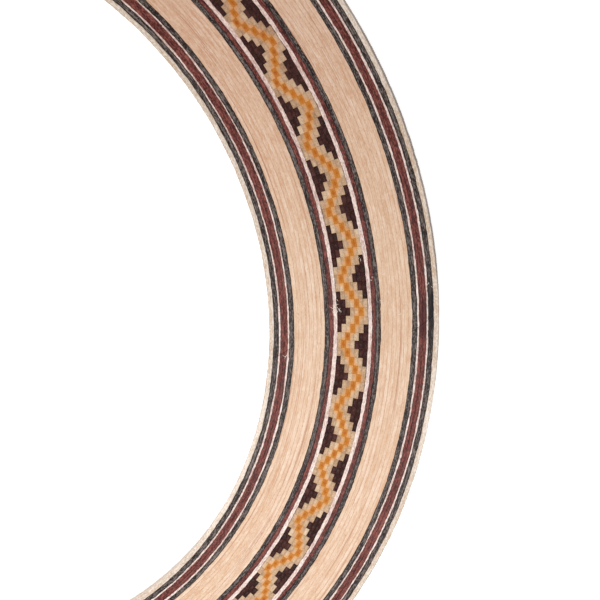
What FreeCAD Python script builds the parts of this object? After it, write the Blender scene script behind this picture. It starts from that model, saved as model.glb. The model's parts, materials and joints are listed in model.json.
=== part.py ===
"""Wooden sound-hole rosette for a guitar: a flat inlay ring, loose and ready to be let into a soundboard.

Every band is made as a luthier makes it. Thin dyed veneers are bent on edge into rings, one round the other,
and a mosaic of small sticks, sliced from a glued-up log, fills the middle band. Each bent strip is open where
its two ends meet, with a thin glue line between them. The ring lies flat on the XY plane with its back at
Z = 0 and its show face at Z = THICKNESS. Its axis is Z, and a dark inner tooth of the mosaic points along +X.
All lengths are in millimetres and all angles in degrees.
"""

import FreeCAD, Part
import math
import os

# ---- Driving sizes ----
BORE_RADIUS = 42.2  # the open middle, which the sound hole is cut out through
THICKNESS = 1.5  # every strip and stick is this deep
EDGE_BAND = 0.54  # the pale band round each rim
BORDER_BLACK = 0.51  # one black veneer of a border sandwich
BORDER_WHITE = 0.20  # one thin white line of a border sandwich
BORDER_RED_PLY = 0.385  # one of the red veneers in the middle of a border sandwich
WOOD_PLY = 0.405  # one natural veneer of a wide wood band
LINE_BLACK = 0.49  # the black line beside the mosaic
LINE_RED = 0.41  # the red-brown line beside the mosaic
LINE_WHITE = 0.42  # the white line beside the mosaic
STICK_DEPTH = 0.46  # one mosaic stick, measured along the radius
GLUE_GAP = 0.04  # the glue line where the two ends of a bent strip meet

# ---- Counts ----
RED_PLIES = 2  # red veneers in a border sandwich
WOOD_PLIES = 8  # veneers in a wide wood band
MOSAIC_ROWS = 7  # rows of sticks, from the inside out
REPEATS = 45  # times the pattern comes round the ring
COLUMNS = 8  # columns of sticks in one repeat
TOOTH_ROWS = 3  # height of a dark tooth at its middle

# ---- Where the ends of the bent strips meet ----
OUTER_BORDER_JOINT = -1.29  # angle of the outer sandwich's joint, at the sandwich's middle
INNER_BORDER_JOINT = -5.79  # angle of the inner sandwich's joint
BORDER_SLANT = 38.0  # a sandwich's joint is a scarf, this far off the radius
PLAIN_JOINT = 100.0  # angle of the inner edge band's joint
JOINT_TURN = 9.0  # degrees that the other plain strips' joints turn for each mm outwards, so that no two line up
PLAIN_SLANT = 30.0  # a plain strip's scarf

HALF = COLUMNS // 2  # columns from the middle of an inner tooth to the middle of an outer one
COLUMN_ANGLE = 360.0 / (REPEATS * COLUMNS)
ORANGE_PEAK = (MOSAIC_ROWS + 1 + HALF) // 2  # row of the orange stick over the middle of an inner tooth


def at(radius, angle):
    """The point at a radius and an angle, on the plane of the back."""
    turn = math.radians(angle)
    return FreeCAD.Vector(radius * math.cos(turn), radius * math.sin(turn), 0)


def upright(face):
    """The solid that stands on a flat face, as deep as the rosette."""
    return face.extrude(FreeCAD.Vector(0, 0, THICKNESS))


def glue_line(inner, outer, angle, slant):
    """The thin slanted slot that parts the ends of the strips between two radii."""
    middle = at((inner + outer) / 2, angle)
    direction = FreeCAD.Vector(math.cos(math.radians(angle + slant)), math.sin(math.radians(angle + slant)), 0)
    across = FreeCAD.Vector(-direction.y, direction.x, 0)
    reach = direction * ((outer - inner) / math.cos(math.radians(slant)) / 2 + outer - inner)
    side = across * (GLUE_GAP / 2)
    corners = [middle - reach - side, middle + reach - side, middle + reach + side, middle - reach + side]
    return upright(Part.Face(Part.makePolygon(corners + corners[:1])))


def bent_strip(inner, outer, joint):
    """A veneer bent on edge into a ring, cut through at its joint."""
    rims = [Part.Wire(Part.makeCircle(radius)) for radius in (outer, inner)]
    return upright(Part.Face(rims, "Part::FaceMakerBullseye")).cut(joint)


def stick(inner, outer, angle):
    """A mosaic stick one column wide, with its middle at an angle."""
    start, middle, end = angle - COLUMN_ANGLE / 2, angle, angle + COLUMN_ANGLE / 2
    outer_arc = Part.Arc(at(outer, start), at(outer, middle), at(outer, end)).toShape()
    inner_arc = Part.Arc(at(inner, end), at(inner, middle), at(inner, start)).toShape()
    first_side = Part.makeLine(at(inner, start), at(outer, start))
    last_side = Part.makeLine(at(outer, end), at(inner, end))
    return upright(Part.Face(Part.Wire([first_side, outer_arc, last_side, inner_arc])))


def mosaic_colour(row, offset):
    """The name of the stick in a row, offset columns from the middle of an inner tooth."""
    if row == ORANGE_PEAK - offset:
        return "mosaic_orange_zigzag"
    if row <= TOOTH_ROWS - offset:
        return "mosaic_dark_teeth_inner"
    if MOSAIC_ROWS + 1 - row <= TOOTH_ROWS - (HALF - offset):
        return "mosaic_dark_teeth_outer"
    return "mosaic_cream_inner" if row < ORANGE_PEAK - offset else "mosaic_cream_outer"


def mosaic(inner):
    """The mosaic's sticks as {name: solids}. Neighbours of one colour in a column are one stick."""
    sticks = {}
    for column in range(REPEATS * COLUMNS):
        step = column % COLUMNS
        offset = min(step, COLUMNS - step)
        first = 1
        for row in range(1, MOSAIC_ROWS + 1):
            colour = mosaic_colour(row, offset)
            if row < MOSAIC_ROWS and mosaic_colour(row + 1, offset) == colour:
                continue
            solid = stick(
                inner + (first - 1) * STICK_DEPTH,
                inner + row * STICK_DEPTH,
                column * COLUMN_ANGLE,
            )
            sticks.setdefault(colour, []).append(solid)
            first = row + 1
    return sticks


def border(side, rim_first):
    """The sandwich's strips as (name, width), from the inside out."""
    rim = [(side + "_border_black_rim_side", BORDER_BLACK), (side + "_border_white_rim_side", BORDER_WHITE)]
    red = [(f"{side}_border_red_{number + 1}", BORDER_RED_PLY) for number in range(RED_PLIES)]
    wood = [(side + "_border_white_wood_side", BORDER_WHITE), (side + "_border_black_wood_side", BORDER_BLACK)]
    return rim + red + wood if rim_first else wood[::-1] + red + rim[::-1]


def wood_band(side):
    """The wide band's veneers as (name, width)."""
    return [(f"{side}_wood_ply_{number + 1}", WOOD_PLY) for number in range(WOOD_PLIES)]


def mosaic_lines(side):
    """The three lines beside the mosaic as (name, width), from the wood to the mosaic."""
    return [
        (f"mosaic_black_line_{side}", LINE_BLACK),
        (f"mosaic_red_line_{side}", LINE_RED),
        (f"mosaic_white_line_{side}", LINE_WHITE),
    ]


def plain_strips(strips, radius, made):
    """Adds strips that each have a joint of their own. Returns the radius they end at."""
    for name, width in strips:
        angle = PLAIN_JOINT + JOINT_TURN * (radius - BORE_RADIUS)
        joint = glue_line(radius, radius + width, angle, PLAIN_SLANT)
        made[name] = bent_strip(radius, radius + width, joint)
        radius += width
    return radius


def sandwich(strips, radius, angle, made):
    """Adds strips that were glued flat first and share one joint. Returns the radius they end at."""
    joint = glue_line(radius, radius + sum(width for _, width in strips), angle, BORDER_SLANT)
    for name, width in strips:
        made[name] = bent_strip(radius, radius + width, joint)
        radius += width
    return radius


def rosette():
    """Every node as {name: shape}, from the inside out."""
    made = {}
    radius = plain_strips([("inner_edge_band", EDGE_BAND)], BORE_RADIUS, made)
    radius = sandwich(border("inner", True), radius, INNER_BORDER_JOINT, made)
    radius = plain_strips(wood_band("inner") + mosaic_lines("inner"), radius, made)
    for name, solids in mosaic(radius).items():
        made[name] = Part.makeCompound(solids)
    radius += MOSAIC_ROWS * STICK_DEPTH
    radius = plain_strips(mosaic_lines("outer")[::-1] + wood_band("outer"), radius, made)
    radius = sandwich(border("outer", False), radius, OUTER_BORDER_JOINT, made)
    radius = plain_strips([("outer_edge_band", EDGE_BAND)], radius, made)
    print(f"outer radius {radius:.3f}")
    return made


os.makedirs("parts", exist_ok=True)
for node, shape in rosette().items():
    print(f"{node}: {len(shape.Solids)} solids, {shape.Volume:.2f} mm3, valid {shape.isValid()}")
    shape.exportStep(f"parts/{node}.step")
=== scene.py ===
"""A loose wooden sound-hole rosette on a white table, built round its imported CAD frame.

Every ring of the frame becomes a bent veneer with worn arrises, slightly uneven edges and a top of fine
fibres, and every stick of the mosaic becomes small bevelled veneer ends. The radii and the thickness are read
from the frame. Sizes here are in millimetres and angles in degrees, until a mesh is made.
"""

import json
import math
import zlib

import bpy
import numpy as np
from mathutils import Matrix, Vector


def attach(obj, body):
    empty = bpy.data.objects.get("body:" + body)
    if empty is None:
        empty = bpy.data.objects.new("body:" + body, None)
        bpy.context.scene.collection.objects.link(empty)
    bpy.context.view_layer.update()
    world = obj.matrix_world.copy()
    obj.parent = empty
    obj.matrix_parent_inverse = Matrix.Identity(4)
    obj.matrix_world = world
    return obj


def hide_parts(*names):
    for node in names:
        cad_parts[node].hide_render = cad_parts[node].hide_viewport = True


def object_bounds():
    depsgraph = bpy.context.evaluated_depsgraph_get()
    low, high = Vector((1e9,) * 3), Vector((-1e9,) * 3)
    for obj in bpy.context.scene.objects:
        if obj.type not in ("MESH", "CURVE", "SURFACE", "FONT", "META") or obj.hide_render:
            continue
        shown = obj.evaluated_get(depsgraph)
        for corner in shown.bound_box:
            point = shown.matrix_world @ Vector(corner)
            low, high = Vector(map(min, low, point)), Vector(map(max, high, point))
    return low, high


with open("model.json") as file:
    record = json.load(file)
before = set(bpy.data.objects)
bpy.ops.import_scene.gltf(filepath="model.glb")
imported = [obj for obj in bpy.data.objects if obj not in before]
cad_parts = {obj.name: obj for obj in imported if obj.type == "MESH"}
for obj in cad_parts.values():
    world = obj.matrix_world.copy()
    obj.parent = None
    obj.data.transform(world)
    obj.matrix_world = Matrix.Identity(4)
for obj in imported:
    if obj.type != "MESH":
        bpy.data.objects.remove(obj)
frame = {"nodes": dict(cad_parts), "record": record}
cad_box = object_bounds()

MM = 0.001
BODY = "root"
DEPTH = cad_box[1].z / MM  # the rosette's thickness

# ---- The bent strips ----
GLUE_GAP = 0.04  # between the two ends of a bent strip
STEP = 0.25  # length of a mesh face along a strip
TOP_STEP = 0.09  # width of a mesh face across a strip
SHARP_ANGLE = 50.0  # faces that meet more steeply than this don't share their shading
ARRIS = 0.02  # worn edge of a strip's top
# (share of the arris, drop as a share of it, share of the fibre relief) from a strip's side to its top
ARRIS_SHAPE = ((0, 1.0, 0), (0.12, 0.45, 0), (0.45, 0.12, 0), (1, 0.0, 0.4))
BOTTOM_SHARES = (0.8, 0.5, 0.2, 0)  # places across the bottom that have points of their own
SINK = 0.012  # how far a strip may lie below the highest one
FIBRE_RELIEF = 0.006  # height of the fibres on a strip's top
FIBRE_LENGTH = 5  # of a fibre, in mesh faces
BUNDLE_LENGTH = 18  # of a bundle of fibres, in mesh faces
WANDER = 0.014  # how far each of the waves below pushes a strip's edge
EDGE_WAVES = {"long": 40, "short": 260, "ragged": 1000}  # steps of each wave round the ring
BORDER_SLANT = 38.0  # the sandwiches' joints are scarfs, this far off the radius
OUTER_BORDER_JOINT = -1.29
INNER_BORDER_JOINT = -5.79
PLAIN_JOINT = 100.0  # the inner edge band's joint
JOINT_TURN = 9.0  # degrees that the other plain joints turn for each mm outwards
PLAIN_SLANT = 30.0

# ---- The outer border's joint, where its strips overlap. A place is (angle, reach) in degrees ----
STAINS = {
    "outer_border_black_rim_side": (-0.3, 5.4),
    "outer_border_red_1": (-1.0, 2.6),
    "outer_border_red_2": (-0.8, 2.8),
}
STAIN_STRENGTH = 1.5  # over 1, so that the middle of a stain is even
FRAYED = ((0.6, 2.4), (-7.5, 1.5))  # the places where the outermost black strip's outer side is rough
ROUGH = 0.03  # how rough it is
ROUGH_STEPS = 1500
PUSH = 0.045  # how far the overlap pushes that strip's inner side inwards
PUSH_REACH = 3.2
PUSH_ROUGH_REACH = 2.0  # the inner side is rough as far as this

# ---- Painted shade. A place is (angle, reach) in degrees ----
SHADED_SIDE = (45.0, 45.0)  # where painted shade dims the pale woods, on the side that the lamp lights least
RIM_SHADE_PLACE = (28, 48)  # where painted shade on the rim's outer wall is darkest

# ---- The mosaic ----
REPEATS = 45
COLUMNS = 8  # columns of sticks in a repeat
ROWS = 7
TOOTH_ROWS = 3
COLUMN_ANGLE = 360.0 / (REPEATS * COLUMNS)
HALF = COLUMNS // 2
ORANGE_PEAK = (ROWS + 1 + HALF) // 2
STICK_GAP = 0.003  # half the glue line between two sticks
STICK_BEVEL = 0.010
STICK_SINK = 0.008
STICK_TILT = 0.004
PLANK_SHIFT = 0.022  # how far a column of the log slipped when it was glued
MOST_SHIFT = 0.08
COLUMN_WANDER = 0.02  # in degrees
ORANGE_SWELL = 0.02  # how much the orange sticks swelled on each side when the log was glued

# ---- The camera ----
CAMERA_AIM = (45.641, 1.287)  # the point of the top face at the middle of the picture
CAMERA_DISTANCE = 103.41
CAMERA_AZIMUTH = 51.55  # from +X
CAMERA_ELEVATION = 73.59
CAMERA_ROLL = -2.70
CAMERA_LENS = 59.4

# ---- The lamp ----
LAMP_PLACE = (5, -127, 400)
LAMP_AIM = (10, -65, 0)
LAMP_ENERGY = 2.9  # in watts
LAMP_CONE = 26.5


# ---------------------------------------------------------------- smooth random curves


def seeded(*words):
    """A random generator that depends only on these words."""
    return np.random.default_rng(zlib.crc32(" ".join(map(str, words)).encode()))


def eased(share):
    """A share from 0 to 1, with a soft start and a soft end."""
    return share * share * (3 - 2 * share)


def waves(steps, size, *words):
    """A smooth closed curve of random heights round the ring, as a function of the angle in degrees."""
    heights = seeded("waves", *words).normal(0, size, steps)

    def height(angle):
        place = np.mod(angle, 360.0) / 360.0 * steps
        low = np.floor(place).astype(int)
        share = eased(place - low)
        return heights[low % steps] * (1 - share) + heights[(low + 1) % steps] * share

    return height


def bump(angle, middle, width):
    """1 at an angle, and falling smoothly to 0 at width degrees from it."""
    away = np.abs(np.mod(angle - middle + 180.0, 360.0) - 180.0) / width
    return eased(np.clip(1 - away, 0, 1))


# ---------------------------------------------------------------- the frame's radii


def radii(*nodes):
    """The lowest and highest radius of the nodes' own corners, in mm."""
    points = np.concatenate([[v.co.xy[:] for v in frame["nodes"][n].data.vertices] for n in nodes])
    found = np.hypot(points[:, 0], points[:, 1]) / MM
    return found.min().round(4), found.max().round(4)


STICK_WORDS = ("teeth", "cream", "zigzag")
STICK_NODES = [n for n in sorted(frame["nodes"]) if any(word in n for word in STICK_WORDS)]
STRIPS = {n: radii(n) for n in frame["nodes"] if n not in STICK_NODES}
BORE = min(low for low, _ in STRIPS.values())
RIM = max(high for _, high in STRIPS.values())
MOSAIC = radii(*STICK_NODES)
SLOTS = {part["node"]: part["material_slot"] for part in frame["record"]["subparts"]}


# ---------------------------------------------------------------- where two strips meet


def edge_curve(radius):
    """The line where two strips meet, or a rim, as a function of the angle. It wanders off the circle."""
    edge_waves = [waves(steps, WANDER, f"{radius:.3f}", word) for word, steps in EDGE_WAVES.items()]

    def curve(angle):
        wander = sum(wave(angle) for wave in edge_waves)
        if radius in (BORE, RIM):
            inwards = 1 if radius == BORE else -1
            return radius + inwards * np.abs(wander)
        return radius + wander + slipped(radius, angle)

    return curve


def slipped(radius, angle):
    """How far the lines of the outer border are pushed where its strips overlap at their joint."""
    black_low, black_high = STRIPS["outer_border_black_rim_side"]
    rough = waves(ROUGH_STEPS, ROUGH, "overlap")(angle)
    if radius == black_high:
        return np.maximum(rough, 0) * sum(bump(angle, *place) for place in FRAYED)
    if radius == black_low:
        pushed = -PUSH * bump(angle, OUTER_BORDER_JOINT, PUSH_REACH)
        return pushed + 0.6 * rough * bump(angle, OUTER_BORDER_JOINT, PUSH_ROUGH_REACH)
    return 0.0


EDGES = {}


def edge(radius):
    """The one curve that stands for a radius, so that both of its strips have the same edge."""
    return EDGES.setdefault(radius, edge_curve(radius))


def flush_at(angle):
    """How much painted shade dims the pale woods at an angle."""
    return bump(angle, *SHADED_SIDE)


def joint_of(node):
    """(angle, slant, radius at its middle) of a strip's joint."""
    for side, angle in (("inner", INNER_BORDER_JOINT), ("outer", OUTER_BORDER_JOINT)):
        if node.startswith(side + "_border"):
            spans = [STRIPS[n] for n in STRIPS if n.startswith(side + "_border")]
            return angle, BORDER_SLANT, (min(spans)[0] + max(spans)[1]) / 2
    low, high = STRIPS[node]
    return PLAIN_JOINT + JOINT_TURN * (low - BORE), PLAIN_SLANT, (low + high) / 2


# ---------------------------------------------------------------- meshes


def new_piece(name, points, faces, node, material, **attributes):
    """A smooth-shaded mesh object in metres, which stands for a node of the frame."""
    mesh = bpy.data.meshes.new(name)
    mesh.from_pydata((points * MM).tolist(), [], faces)
    for word, values in attributes.items():
        vector = values.ndim == 2
        layer = mesh.attributes.new(word, "FLOAT_VECTOR" if vector else "FLOAT", "POINT")
        layer.data.foreach_set("vector" if vector else "value", values.astype(np.float32).ravel())
    mesh.shade_smooth()
    mesh.set_sharp_from_angle(angle=math.radians(SHARP_ANGLE))
    mesh.materials.append(material)
    piece = bpy.data.objects.new(name, mesh)
    bpy.context.scene.collection.objects.link(piece)
    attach(piece, BODY)
    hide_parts(node)
    return piece


def section(width):
    """The points of a strip's section, along the bottom, up the inner side, over the top and down to the
    bottom outer corner. Each is (share of the width, drop below the top or None at the bottom, share of the
    fibre relief)."""
    arris = min(ARRIS, width / 5) / width
    inside = max(3, round(width / TOP_STEP))
    bottom = [(share, None, 0) for share in BOTTOM_SHARES]
    inner = [(share * arris, drop * arris * width, relief) for share, drop, relief in ARRIS_SHAPE]
    top = [(share, 0.0, 1.0) for share in np.linspace(arris, 1 - arris, inside + 1)[1:-1]]
    outer = [(1 - share, drop, relief) for share, drop, relief in reversed(inner)]
    return [*bottom, *inner, *top, *outer, (1, None, 0)]


def browned(angle, high):
    """How dark the rim's burn and painted shade make a strip at each point of its sections: only the rim's
    side and arris get it.
    """
    brown = np.zeros_like(angle)
    if high == RIM:
        side = slice(-len(ARRIS_SHAPE) - 1, None)
        # Burn on the cut wall all round, in patches, plus painted shade that is darkest at the bump's angle,
        # where the wall is seen on its shaded side
        patches = 0.35 + 0.8 * bump(angle[:, side], *RIM_SHADE_PLACE) + 0.3 * waves(60, 1.0, "burnt")(angle[:, side])
        brown[:, side] = np.clip(patches, 0, 1)
    return brown


def bent_strip(node, material):
    """A veneer bent on edge into a ring, from one end at its joint round to the other."""
    low, high = STRIPS[node]
    width = high - low
    joint, slant, joint_radius = joint_of(node)
    outline = section(width)
    count = round(2 * math.pi * high / STEP)
    along = np.linspace(0, 1, count + 1)[:, None]
    across = np.array([share for share, _, _ in outline])[None, :]
    radius = low + across * width
    lean = np.degrees(math.tan(math.radians(slant)) * (radius - joint_radius) / joint_radius)
    gap = np.degrees(GLUE_GAP / radius)
    angle = joint + lean + gap / 2 + along * (360.0 - gap)
    inner, outer = edge(low)(angle), edge(high)(angle)
    radius = inner + across * (outer - inner)
    sink = SINK * (0.5 + 0.35 * np.clip(waves(90, 1.0, node, "sink")(angle), -1.4, 1.4))
    relief = np.stack(
        [
            waves(round(count / FIBRE_LENGTH), 0.6, node, column, "fibre")(angle[:, column])
            + waves(round(count / BUNDLE_LENGTH), 0.7, node, column, "strand")(angle[:, column])
            for column in range(len(outline))
        ],
        axis=1,
    )
    height = np.empty_like(angle)
    for column, (_, drop, share) in enumerate(outline):
        if drop is None:
            height[:, column] = 0.0
        else:
            proud = FIBRE_RELIEF * share * np.clip(relief[:, column], -2, 2)
            height[:, column] = np.minimum(DEPTH - sink[:, column] - drop + proud, DEPTH)
    turn = np.radians(angle)
    points = np.stack([radius * np.cos(turn), radius * np.sin(turn), height], axis=-1)
    side = np.minimum(across, 1 - across) * (outer - inner)
    length = np.radians(angle - joint) * (low + high) / 2
    start = seeded(node).uniform(0, 400)
    grain = np.stack([length + start, radius, height], axis=-1)
    stain = np.zeros_like(angle)
    if node in STAINS:
        stain = np.minimum(STAIN_STRENGTH * bump(angle, *STAINS[node]), 1)
    rows, columns = angle.shape
    index = np.arange(rows * columns).reshape(rows, columns)
    here, there = index[:-1], index[1:]
    following = np.roll(np.arange(columns), -1)
    quads = np.stack([here, here[:, following], there[:, following], there], axis=-1).reshape(-1, 4)
    faces = quads.tolist() + [index[0, ::-1].tolist(), index[-1].tolist()]
    return new_piece(
        node + "_veneer",
        points.reshape(-1, 3),
        faces,
        node,
        material,
        grain=grain.reshape(-1, 3),
        side=side.ravel(),
        brown=browned(angle, high).ravel(),
        stain=stain.ravel(),
        flush=flush_at(angle).ravel(),
    )


def stick_node(row, offset):
    """The frame's node that holds the veneer in a row, offset columns from the middle of an inner tooth."""
    if row == ORANGE_PEAK - offset:
        return "mosaic_orange_zigzag"
    if row <= TOOTH_ROWS - offset:
        return "mosaic_dark_teeth_inner"
    if ROWS + 1 - row <= TOOTH_ROWS - (HALF - offset):
        return "mosaic_dark_teeth_outer"
    return "mosaic_cream_inner" if row < ORANGE_PEAK - offset else "mosaic_cream_outer"


def stick_corners():
    """The angles of the column lines, and the radii of the row lines in each column, a little off true."""
    total = REPEATS * COLUMNS
    log = seeded("log")
    plank = log.normal(0, PLANK_SHIFT, (COLUMNS, 1)) + log.normal(0, 0.3 * PLANK_SHIFT, (COLUMNS, ROWS + 1))
    tile = seeded("tiles")
    shifts = np.tile(plank, (REPEATS, 1)) + tile.normal(0, 0.4 * PLANK_SHIFT, (total, ROWS + 1))
    low, high = MOSAIC
    lines = low + (high - low) * np.arange(ROWS + 1) / ROWS + np.clip(shifts, -MOST_SHIFT, MOST_SHIFT)
    for column in range(total):
        step = column % COLUMNS
        orange = ORANGE_PEAK - min(step, COLUMNS - step)
        lines[column, orange - 1] -= ORANGE_SWELL
        lines[column, orange] += ORANGE_SWELL
    lines[:, 0], lines[:, -1] = low, high
    columns = (np.arange(total + 1) - 0.5) * COLUMN_ANGLE
    columns[1:-1] += tile.normal(0, COLUMN_WANDER, total - 1)
    return columns, lines


RING = ((-1, -1), (0, -1), (1, -1), (1, 0), (1, 1), (0, 1), (-1, 1), (-1, 0))  # round a veneer's end


def mosaic_pieces(materials):
    """One mesh for each colour group, with a bevelled block for every veneer in it."""
    columns, lines = stick_corners()
    groups = {node: [] for node in STICK_NODES}
    for column in range(REPEATS * COLUMNS):
        step = column % COLUMNS
        for row in range(1, ROWS + 1):
            groups[stick_node(row, min(step, COLUMNS - step))].append((column, row))
    for node, cells in groups.items():
        blocks = [veneer_end(column, row, columns, lines) for column, row in cells]
        points, faces, grain, tone, edge_share, dye, flush = [], [], [], [], [], [], []
        for number, (block, middle, rim) in enumerate(blocks):
            chance = seeded(node, cells[number])
            first = len(points) * len(block)
            points.append(block)
            grain.append(middle + chance.uniform(0, 300, 3))
            tone.append(np.full(len(block), chance.normal()))
            edge_share.append(rim)
            dye.append(dye_from_beside(*cells[number]))
            # painted shade at the stick's angle, on the side that the lamp lights least
            flush.append(np.full(len(block), flush_at(cells[number][0] * COLUMN_ANGLE)))
            faces += [[first + corner for corner in face] for face in BLOCK_FACES]
        new_piece(
            node + "_sticks",
            np.concatenate(points),
            faces,
            node,
            materials[SLOTS[node]],
            grain=np.concatenate(grain),
            tone=np.concatenate(tone),
            rim=np.concatenate(edge_share),
            bleed=np.concatenate(dye),
            flush=np.concatenate(flush),
        )


def dye_from_beside(column, row):
    """How much orange dye has come over the sides of a veneer, at each of its block's points."""

    def orange(along, out):
        step = (column + along) % COLUMNS
        return stick_node(row + out, min(step, COLUMNS - step)) == "mosaic_orange_zigzag"

    ring = [max(orange(x, 0) and x != 0, orange(0, y) and y != 0, 0.4 * orange(x, y)) for x, y in RING]
    middle = 0.15 * max(ring)
    return np.array([*ring, *ring, *ring, middle, middle], dtype=float)


def block_faces():
    """The faces of a block. Its points are three rings, of the bottom, the walls' tops and the top's edge,
    and then the middles of the top and the bottom."""
    around = len(RING)
    top_edge, top_middle, bottom_middle = 2 * around, 3 * around, 3 * around + 1
    faces = []
    for level in (0, around):
        for corner in range(around):
            after = (corner + 1) % around
            faces.append([level + corner, level + after, level + around + after, level + around + corner])
    for corner in range(0, around, 2):
        before, after = (corner - 1) % around, corner + 1
        faces.append([top_edge + before, top_edge + corner, top_edge + after, top_middle])
        faces.append([after, corner, before, bottom_middle])
    return faces


BLOCK_FACES = block_faces()


def veneer_end(column, row, columns, lines):
    """A block's points, the same points as grain coordinates, and 1 at its rim and 0 at its middle."""
    chance = seeded("block", column, row)
    start, end = columns[column], columns[column + 1]
    inner, outer = lines[column, row - 1], lines[column, row]
    middle_radius, middle_angle = (inner + outer) / 2, (start + end) / 2
    half_depth = (outer - inner) / 2
    half_width = math.radians(end - start) / 2 * middle_radius
    sink = chance.uniform(0.15, 1) * STICK_SINK
    tilt = chance.normal(0, STICK_TILT, 2)

    def ring(inset, drop):
        made = []
        for x, y in RING:
            radius = middle_radius + y * (half_depth - inset)
            angle = middle_angle + math.degrees(x * (half_width - inset) / middle_radius)
            made.append((radius, angle, drop, x, y))
        return made

    rings = ring(STICK_GAP, None) + ring(STICK_GAP, STICK_BEVEL) + ring(STICK_GAP + STICK_BEVEL, 0.0)
    rings += [(middle_radius, middle_angle, drop, 0, 0) for drop in (0.0, None)]
    points, grain = [], []
    for radius, angle, drop, x, y in rings:
        if drop is None:
            height = 0.0
        else:
            height = min(DEPTH - sink - drop + tilt[0] * x + tilt[1] * y, DEPTH)
        turn = math.radians(angle)
        points.append((radius * math.cos(turn), radius * math.sin(turn), height))
        grain.append((math.radians(angle - middle_angle) * middle_radius, radius - middle_radius, height))
    rim = np.ones(len(points))
    rim[-2:] = 0.0
    return np.array(points), np.array(grain), rim


# ---------------------------------------------------------------- torn fibres

# (radius, angle, strands, length of a strand in mm) of the tufts that sanding tore up
TUFTS = (
    (49.4, 0.2, 7, 0.75),
    (54.4, 1.0, 2, 0.5),
    (55.7, -0.1, 2, 0.4),
    (44.2, -6.6, 3, 0.7),
    (57.3, -12.8, 2, 0.6),
    (52.3, 6.2, 2, 0.3),
    (49.6, 1.6, 1, 0.3),
    (49.7, -14.6, 1, 0.3),
    (53.2, 3.8, 2, 0.3),
    (59.2, 2.6, 3, 0.3),
)
MORE_TUFTS = 26  # scattered between these two angles
MORE_ANGLES = (40, 320)
TUFT_SPREAD = 0.22  # how far a tuft's strands lie from its middle
STRAND_RADIUS = 0.022
STRAND_RINGS = 9
STRAND_SIDES = 5
STRAND_LIFT = 0.05  # a strand's wave rises up to twice this far off the top


def strand(radius, angle, length, chance):
    """The points and faces of one curled fibre that lies on the top."""
    turn = math.radians(angle)
    middle = np.array([radius * math.cos(turn), radius * math.sin(turn), 0.0])
    middle += np.append(chance.normal(0, TUFT_SPREAD, 2), 0)
    heading = turn + math.pi / 2 + chance.normal(0, 0.9)
    curl = chance.normal(0, 1.6)
    steps = np.linspace(-0.5, 0.5, STRAND_RINGS)
    headings = heading + curl * steps
    path = np.cumsum(np.stack([np.cos(headings), np.sin(headings)], axis=1), axis=0) * length / STRAND_RINGS
    path -= path.mean(axis=0)
    lying = DEPTH + 0.3 * STRAND_RADIUS
    lift = lying + STRAND_LIFT * chance.random() * (1 + np.cos(2 * np.pi * (steps + chance.random())))
    points = []
    for place, (x, y) in enumerate(path):
        thick = STRAND_RADIUS * (0.35 + 0.65 * math.cos(math.pi * steps[place]))
        sideways = np.array([-math.sin(headings[place]), math.cos(headings[place]), 0.0])
        for corner in range(STRAND_SIDES):
            way = 2 * math.pi * corner / STRAND_SIDES
            ring = sideways * math.cos(way) + np.array([0, 0, math.sin(way)])
            points.append(middle + np.array([x, y, lift[place]]) + ring * thick)
    faces = [list(reversed(range(STRAND_SIDES))), list(range(len(points) - STRAND_SIDES, len(points)))]
    for ring_start in range(0, len(points) - STRAND_SIDES, STRAND_SIDES):
        for corner in range(STRAND_SIDES):
            first, last = ring_start + corner, ring_start + (corner + 1) % STRAND_SIDES
            faces.append([first, last, last + STRAND_SIDES, first + STRAND_SIDES])
    return np.array(points), faces


def torn_fibres(material):
    """Pale fibres that stand up out of the strips in a few places."""
    chance = seeded("tufts")
    low, high = BORE + 1, RIM - 1
    tufts = list(TUFTS)
    for _ in range(MORE_TUFTS):
        place = chance.uniform(low, high), chance.uniform(*MORE_ANGLES)
        tufts.append((*place, chance.integers(1, 4), chance.uniform(0.25, 0.8)))
    points, faces = [], []
    for radius, angle, strands, length in tufts:
        for _ in range(strands):
            found, sides = strand(radius, angle, length * chance.uniform(0.6, 1.2), chance)
            first = sum(len(part) for part in points)
            points.append(found)
            faces += [[first + corner for corner in face] for face in sides]
    mesh = bpy.data.meshes.new("torn_fibres")
    mesh.from_pydata((np.concatenate(points) * MM).tolist(), [], faces)
    mesh.shade_smooth()
    mesh.materials.append(material)
    piece = bpy.data.objects.new("torn_fibres", mesh)
    bpy.context.scene.collection.objects.link(piece)
    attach(piece, BODY)


# ---------------------------------------------------------------- materials


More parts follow.
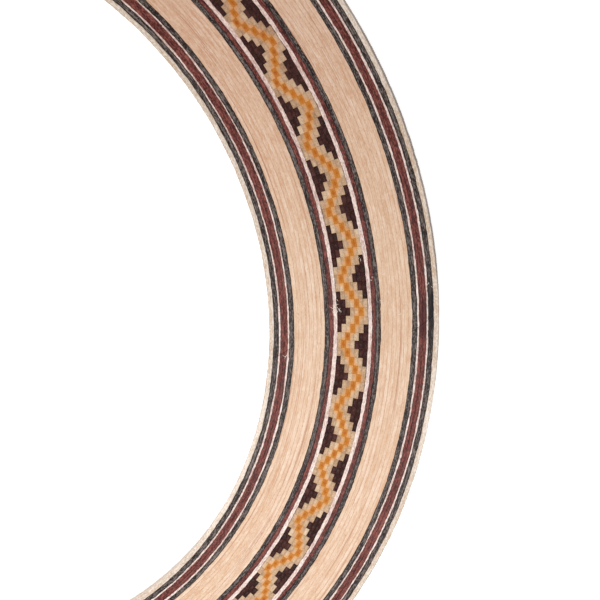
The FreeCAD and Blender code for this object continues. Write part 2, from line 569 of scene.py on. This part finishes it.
class Shader:
    """Builds one material's nodes. A value is a number, a colour, a vector or another node's socket."""

    def __init__(self, name):
        self.material = bpy.data.materials.new(name)
        self.material.use_nodes = True
        self.tree = self.material.node_tree
        self.skin = self.tree.nodes["Principled BSDF"]

    def put(self, socket, value):
        """Links a socket to another, or gives it a constant."""
        if isinstance(value, bpy.types.NodeSocket):
            self.tree.links.new(value, socket)
        elif isinstance(value, tuple) and len(value) == 3 and socket.type == "RGBA":
            socket.default_value = (*value, 1.0)
        else:
            socket.default_value = value

    def node(self, kind, inputs, **settings):
        """A new node of a kind, with its inputs by name or place."""
        made = self.tree.nodes.new("ShaderNode" + kind)
        for word, value in settings.items():
            setattr(made, word, value)
        for place, value in inputs.items():
            self.put(made.inputs[place], value)
        return made

    def attribute(self, name, vector=False):
        """What the mesh says at each point."""
        made = self.node("Attribute", {}, attribute_name=name)
        return made.outputs["Vector" if vector else "Fac"]

    def stretched(self, vector, scale):
        """The vector times a scale on each axis."""
        return self.node("VectorMath", {0: vector, 1: scale}, operation="MULTIPLY").outputs["Vector"]

    def noise(self, vector, detail=2.0, roughness=0.5, distortion=0.0):
        inputs = {"Scale": 1.0, "Detail": detail, "Roughness": roughness, "Distortion": distortion}
        return self.node("TexNoise", {"Vector": vector, **inputs}).outputs["Fac"]

    def maths(self, operation, first, second=0.0, third=0.0):
        return self.node("Math", {0: first, 1: second, 2: third}, operation=operation).outputs["Value"]

    def between(self, value, low, high, to_low=0.0, to_high=1.0):
        """The value's smooth way from low to high, as a number from to_low to to_high."""
        inputs = {"Value": value, "From Min": low, "From Max": high, "To Min": to_low, "To Max": to_high}
        return self.node("MapRange", inputs, interpolation_type="SMOOTHSTEP").outputs["Result"]

    def mix(self, share, first, second, blend="MIX"):
        made = self.node("Mix", {"Factor": share}, data_type="RGBA", blend_type=blend)
        self.put(made.inputs[6], first)
        self.put(made.inputs[7], second)
        return made.outputs[2]

    def both_ways(self, body, noise, share, light, dark, reach=0.22):
        """The body, lightened where a noise is high and darkened where it is low."""
        lighter = self.mix(self.between(noise, 0.5, 0.5 + reach, 0.0, share), body, light)
        return self.mix(self.between(noise, 0.5, 0.5 - reach, 0.0, share), lighter, dark)

    def finish(self, colour, roughness, height, relief, specular=0.3):
        """Sets the surface. relief is the height of the bump in mm."""
        self.put(self.skin.inputs["Base Color"], colour)
        self.put(self.skin.inputs["Roughness"], roughness)
        self.skin.inputs["Specular IOR Level"].default_value = specular
        bumped = self.node("Bump", {"Strength": 1.0, "Distance": relief * MM, "Height": height})
        self.put(self.skin.inputs["Normal"], bumped.outputs["Normal"])
        return self.material


def srgb(red, green, blue):
    """A colour given as it looks on a screen, from 0 to 255, as the shader's linear one."""
    shares = (red / 255, green / 255, blue / 255)
    return tuple(((c + 0.055) / 1.055) ** 2.4 if c > 0.0404 else c / 12.92 for c in shares)


BLACK = srgb(10, 10, 10)
BURN_AND_SHADE_BROWN = srgb(72, 54, 46)  # of the rim's burn and painted shade
PAINTED_SHADE_TINT = srgb(249, 240, 239)  # what the wood's colours are multiplied by where painted shade dims them
POLISH = (0.37, 0.51)  # lowest and highest roughness of the sanded top


def strip_noises(s, grain):
    """The noises that every strip's marks are made of, by name, from the longest marks to the shortest."""
    return {
        "slow": s.noise(s.stretched(grain, (0.05, 1.1, 1.1)), detail=2.0),
        "line": s.noise(s.stretched(grain, (0.05, 5.0, 5.0)), detail=1.0, distortion=0.1),
        "streak": s.noise(s.stretched(grain, (0.14, 4.5, 4.5)), detail=3.0, roughness=0.55, distortion=0.1),
        "cloud": s.noise(s.stretched(grain, (0.7, 2.2, 2.2)), detail=2.0, roughness=0.6),
        "fibre": s.noise(s.stretched(grain, (1.1, 8.5, 8.5)), detail=2.0, roughness=0.6),
        "speck": s.noise(s.stretched(grain, (3.8, 8.5, 8.5)), detail=1.0, roughness=0.6),
    }


def veneer(name, base, light, dark, rim, marks, seam, pores=0.0, stain=None, flush=None, specular=0.3):
    """A veneer seen on its edge. marks says how strongly each of the strip's noises shows, and seam is the
    glue line at its sides: (width in mm, strength, share of it that is missing). pores is how dark its pores
    and long lines are, stain its colour where dye soaked in, and the painted-shade tint dims the side the
    lamp lights least."""
    s = Shader(name)
    grain = s.attribute("grain", vector=True)
    noises = strip_noises(s, grain)
    body = base
    for word, share in marks.items():
        body = s.both_ways(body, noises[word], share, light, dark, 0.15 if word == "speck" else 0.2)
    if pores:
        flecks = s.noise(s.stretched(grain, (2.0, 8.0, 8.0)), detail=0.0)
        body = s.mix(s.between(flecks, 0.77, 0.85, 0.0, pores), body, rim)
        body = s.mix(s.between(noises["line"], 0.63, 0.73, 0.0, pores), body, rim)
    width, strength, missing = seam
    side = s.attribute("side")
    ragged = s.maths("MULTIPLY_ADD", s.maths("SUBTRACT", noises["speck"], 0.5), width, side)
    line = s.between(ragged, 1.2 * width, 0.3 * width, 0.0, strength)
    if missing:
        line = s.maths("MULTIPLY", line, s.between(noises["slow"], 0.44, 0.62, 1.0 - missing, 1.0))
    body = s.mix(line, body, rim)
    # Burn and painted shade on the rim's outer wall and arris
    body = s.mix(s.maths("MULTIPLY", s.attribute("brown"), 0.9), body, BURN_AND_SHADE_BROWN)
    if stain:
        soaked = s.between(noises["streak"], 0.3, 0.6, 0.55, 1.0)
        body = s.mix(s.maths("MULTIPLY", s.attribute("stain"), soaked), body, stain)
    if flush:
        # Painted shade: dims the pale woods on the side that the lamp lights least
        body = s.mix(s.attribute("flush"), body, s.mix(1.0, body, flush, "MULTIPLY"))
    rough = s.between(noises["speck"], 0.3, 0.7, *POLISH)
    height = s.maths("MULTIPLY_ADD", noises["speck"], 0.6, noises["fibre"])
    return s.finish(body, rough, height, 0.014, specular)


def stick_end(name, base, light, dark, rim, tone, speck, glue, bleed=None, flush=None, specular=0.3):
    """The sawn end of a small veneer. tone is how much the ends differ, speck how strongly the pores show,
    glue how dark the line round the end is, bleed the colour that came over from an orange stick, and the
    painted-shade tint what dims the side that the lamp lights least."""
    s = Shader(name)
    grain = s.attribute("grain", vector=True)
    pores = s.noise(s.stretched(grain, (7.0, 7.0, 2.0)), detail=2.0, roughness=0.65)
    blotches = s.noise(s.stretched(grain, (2.0, 2.0, 1.0)), detail=2.0)
    body = s.both_ways(base, s.maths("MULTIPLY_ADD", s.attribute("tone"), 0.1, 0.5), tone, light, dark)
    body = s.both_ways(body, blotches, 0.6 * speck, light, dark)
    body = s.both_ways(body, pores, speck, light, dark)
    edge_share = s.maths("POWER", s.attribute("rim"), 3.0)
    body = s.mix(s.maths("MULTIPLY", edge_share, glue), body, rim)
    if bleed:
        body = s.mix(s.maths("MULTIPLY", s.attribute("bleed"), 0.7), body, bleed)
    if flush:
        # Painted shade: dims the sticks on the side that the lamp lights least
        body = s.mix(s.attribute("flush"), body, s.mix(1.0, body, flush, "MULTIPLY"))
    rough = s.between(pores, 0.3, 0.7, *POLISH)
    return s.finish(body, rough, pores, 0.008, specular)


FIBRE_COLOURS = (srgb(226, 208, 196), srgb(244, 234, 226))


def fibre_material():
    """Pale raw wood, for the torn fibres."""
    s = Shader("torn_fibre")
    s.put(s.skin.inputs["Base Color"], s.mix(s.noise(s.attribute("position", vector=True)), *FIBRE_COLOURS))
    s.put(s.skin.inputs["Roughness"], 0.6)
    return s.material


def make_materials():
    """A material for each slot of the record."""
    return {
        "edge_veneer": veneer(
            "pale_edge_veneer",
            base=srgb(196, 180, 166),
            light=srgb(230, 219, 208),
            dark=srgb(178, 146, 112),
            rim=srgb(145, 115, 91),
            marks={"slow": 0.5, "streak": 0.3, "cloud": 0.35, "fibre": 0.35, "speck": 0.5},
            seam=(0.04, 0.5, 0.85),
        ),
        "natural_veneer": veneer(
            "natural_veneer",
            base=srgb(206, 173, 144),
            light=srgb(224, 203, 183),
            dark=srgb(190, 144, 108),
            rim=srgb(160, 104, 74),
            marks={"slow": 0.5, "streak": 0.38, "cloud": 0.45, "fibre": 0.3, "speck": 0.25},
            seam=(0.05, 0.32, 0.97),
            pores=0.62,
            flush=PAINTED_SHADE_TINT,
        ),
        "black_veneer": veneer(
            "black_dyed_veneer",
            base=srgb(40, 22, 17),
            light=srgb(134, 122, 116),
            dark=BLACK,
            rim=BLACK,
            marks={"streak": 0.5, "cloud": 0.3, "fibre": 0.6, "speck": 0.45},
            seam=(0.09, 0.85, 0.0),
            stain=srgb(12, 8, 8),
            specular=0.14,
        ),
        "red_veneer": veneer(
            "red_dyed_veneer",
            base=srgb(86, 27, 19),
            light=srgb(147, 85, 75),
            dark=srgb(38, 9, 9),
            rim=BLACK,
            marks={"streak": 0.45, "cloud": 0.35, "fibre": 0.55, "speck": 0.5},
            seam=(0.05, 0.35, 0.0),
            stain=srgb(58, 8, 8),
            specular=0.17,
        ),
        "white_veneer": veneer(
            "white_veneer",
            base=srgb(207, 182, 170),
            light=srgb(240, 226, 218),
            dark=srgb(162, 128, 120),
            rim=srgb(25, 10, 10),
            marks={"slow": 0.3, "streak": 0.3, "cloud": 0.4, "fibre": 0.5, "speck": 0.5},
            seam=(0.024, 0.9, 0.0),
            flush=PAINTED_SHADE_TINT,
        ),
        "dark_stick": stick_end(
            "dark_stick_end",
            base=srgb(46, 14, 8),
            light=srgb(88, 50, 44),
            dark=srgb(16, 8, 8),
            rim=BLACK,
            tone=0.4,
            speck=0.65,
            glue=0.0,
            specular=0.14,
        ),
        "cream_stick": stick_end(
            "cream_stick_end",
            base=srgb(180, 148, 117),
            light=srgb(214, 190, 160),
            dark=srgb(132, 96, 64),
            rim=srgb(166, 132, 100),
            tone=0.7,
            speck=0.5,
            glue=0.1,
            bleed=srgb(214, 142, 66),
            flush=PAINTED_SHADE_TINT,
        ),
        "orange_stick": stick_end(
            "orange_stick_end",
            base=srgb(170, 92, 14),
            light=srgb(196, 122, 26),
            dark=srgb(128, 48, 10),
            rim=srgb(190, 130, 62),
            tone=0.35,
            speck=0.5,
            glue=0.6,
            flush=PAINTED_SHADE_TINT,
            specular=0.12,
        ),
    }


# ---------------------------------------------------------------- the table, the light and the camera


def make_table():
    """A white table that the rosette lies on."""
    half = 1.5  # in metres
    corners = [(-half, -half, 0), (half, -half, 0), (half, half, 0), (-half, half, 0)]
    mesh = bpy.data.meshes.new("table")
    mesh.from_pydata(corners, [], [(0, 1, 2, 3)])
    s = Shader("white_table")
    s.put(s.skin.inputs["Base Color"], (0.9, 0.9, 0.9))
    s.put(s.skin.inputs["Roughness"], 0.9)
    s.put(s.skin.inputs["Emission Color"], (1.0, 1.0, 1.0))
    s.put(s.skin.inputs["Emission Strength"], 0.45)
    s.skin.inputs["Specular IOR Level"].default_value = 0.1
    mesh.materials.append(s.material)
    table = bpy.data.objects.new("table", mesh)
    bpy.context.scene.collection.objects.link(table)


def make_light():
    """An even white room and one soft lamp over the near side of the rosette."""
    world = bpy.data.worlds.new("studio")
    world.use_nodes = True
    sky = world.node_tree.nodes["Background"]
    sky.inputs["Color"].default_value = (1.0, 1.0, 1.0, 1.0)
    sky.inputs["Strength"].default_value = 1.0
    bpy.context.scene.world = world
    lamp = bpy.data.lights.new("soft_lamp", "SPOT")
    lamp.energy = LAMP_ENERGY
    lamp.shadow_soft_size = 0.03
    lamp.spot_size = math.radians(LAMP_CONE)
    lamp.spot_blend = 0.46
    holder = bpy.data.objects.new("soft_lamp", lamp)
    holder.location = Vector(LAMP_PLACE) * MM
    aim = Vector(LAMP_AIM) * MM
    holder.rotation_mode = "QUATERNION"
    holder.rotation_quaternion = (aim - holder.location).to_track_quat("-Z", "Y")
    bpy.context.scene.collection.objects.link(holder)


def make_camera():
    """A camera over the right-hand side of the ring, with the ring's +Y up in the picture."""
    azimuth, elevation = math.radians(CAMERA_AZIMUTH), math.radians(CAMERA_ELEVATION)
    level = math.cos(elevation)
    back = Vector((math.cos(azimuth) * level, math.sin(azimuth) * level, math.sin(elevation)))
    right = Vector((0, 1, 0)).cross(back).normalized()
    right = Matrix.Rotation(math.radians(CAMERA_ROLL), 3, back) @ right
    up = back.cross(right)
    aim = Vector((*CAMERA_AIM, DEPTH))
    turned = Matrix((right, up, back)).transposed().to_4x4()
    data = bpy.data.cameras.new("camera")
    data.lens = CAMERA_LENS
    data.sensor_width = 36.0
    data.clip_start, data.clip_end = 0.001, 20.0
    camera = bpy.data.objects.new("camera", data)
    camera.matrix_world = Matrix.Translation((aim + back * CAMERA_DISTANCE) * MM) @ turned
    bpy.context.scene.collection.objects.link(camera)
    bpy.context.scene.camera = camera


make_camera()
materials = make_materials()
for strip in sorted(STRIPS):
    bent_strip(strip, materials[SLOTS[strip]])
mosaic_pieces(materials)
torn_fibres(fibre_material())
make_table()
make_light()
bpy.context.scene.view_settings.view_transform = "Standard"
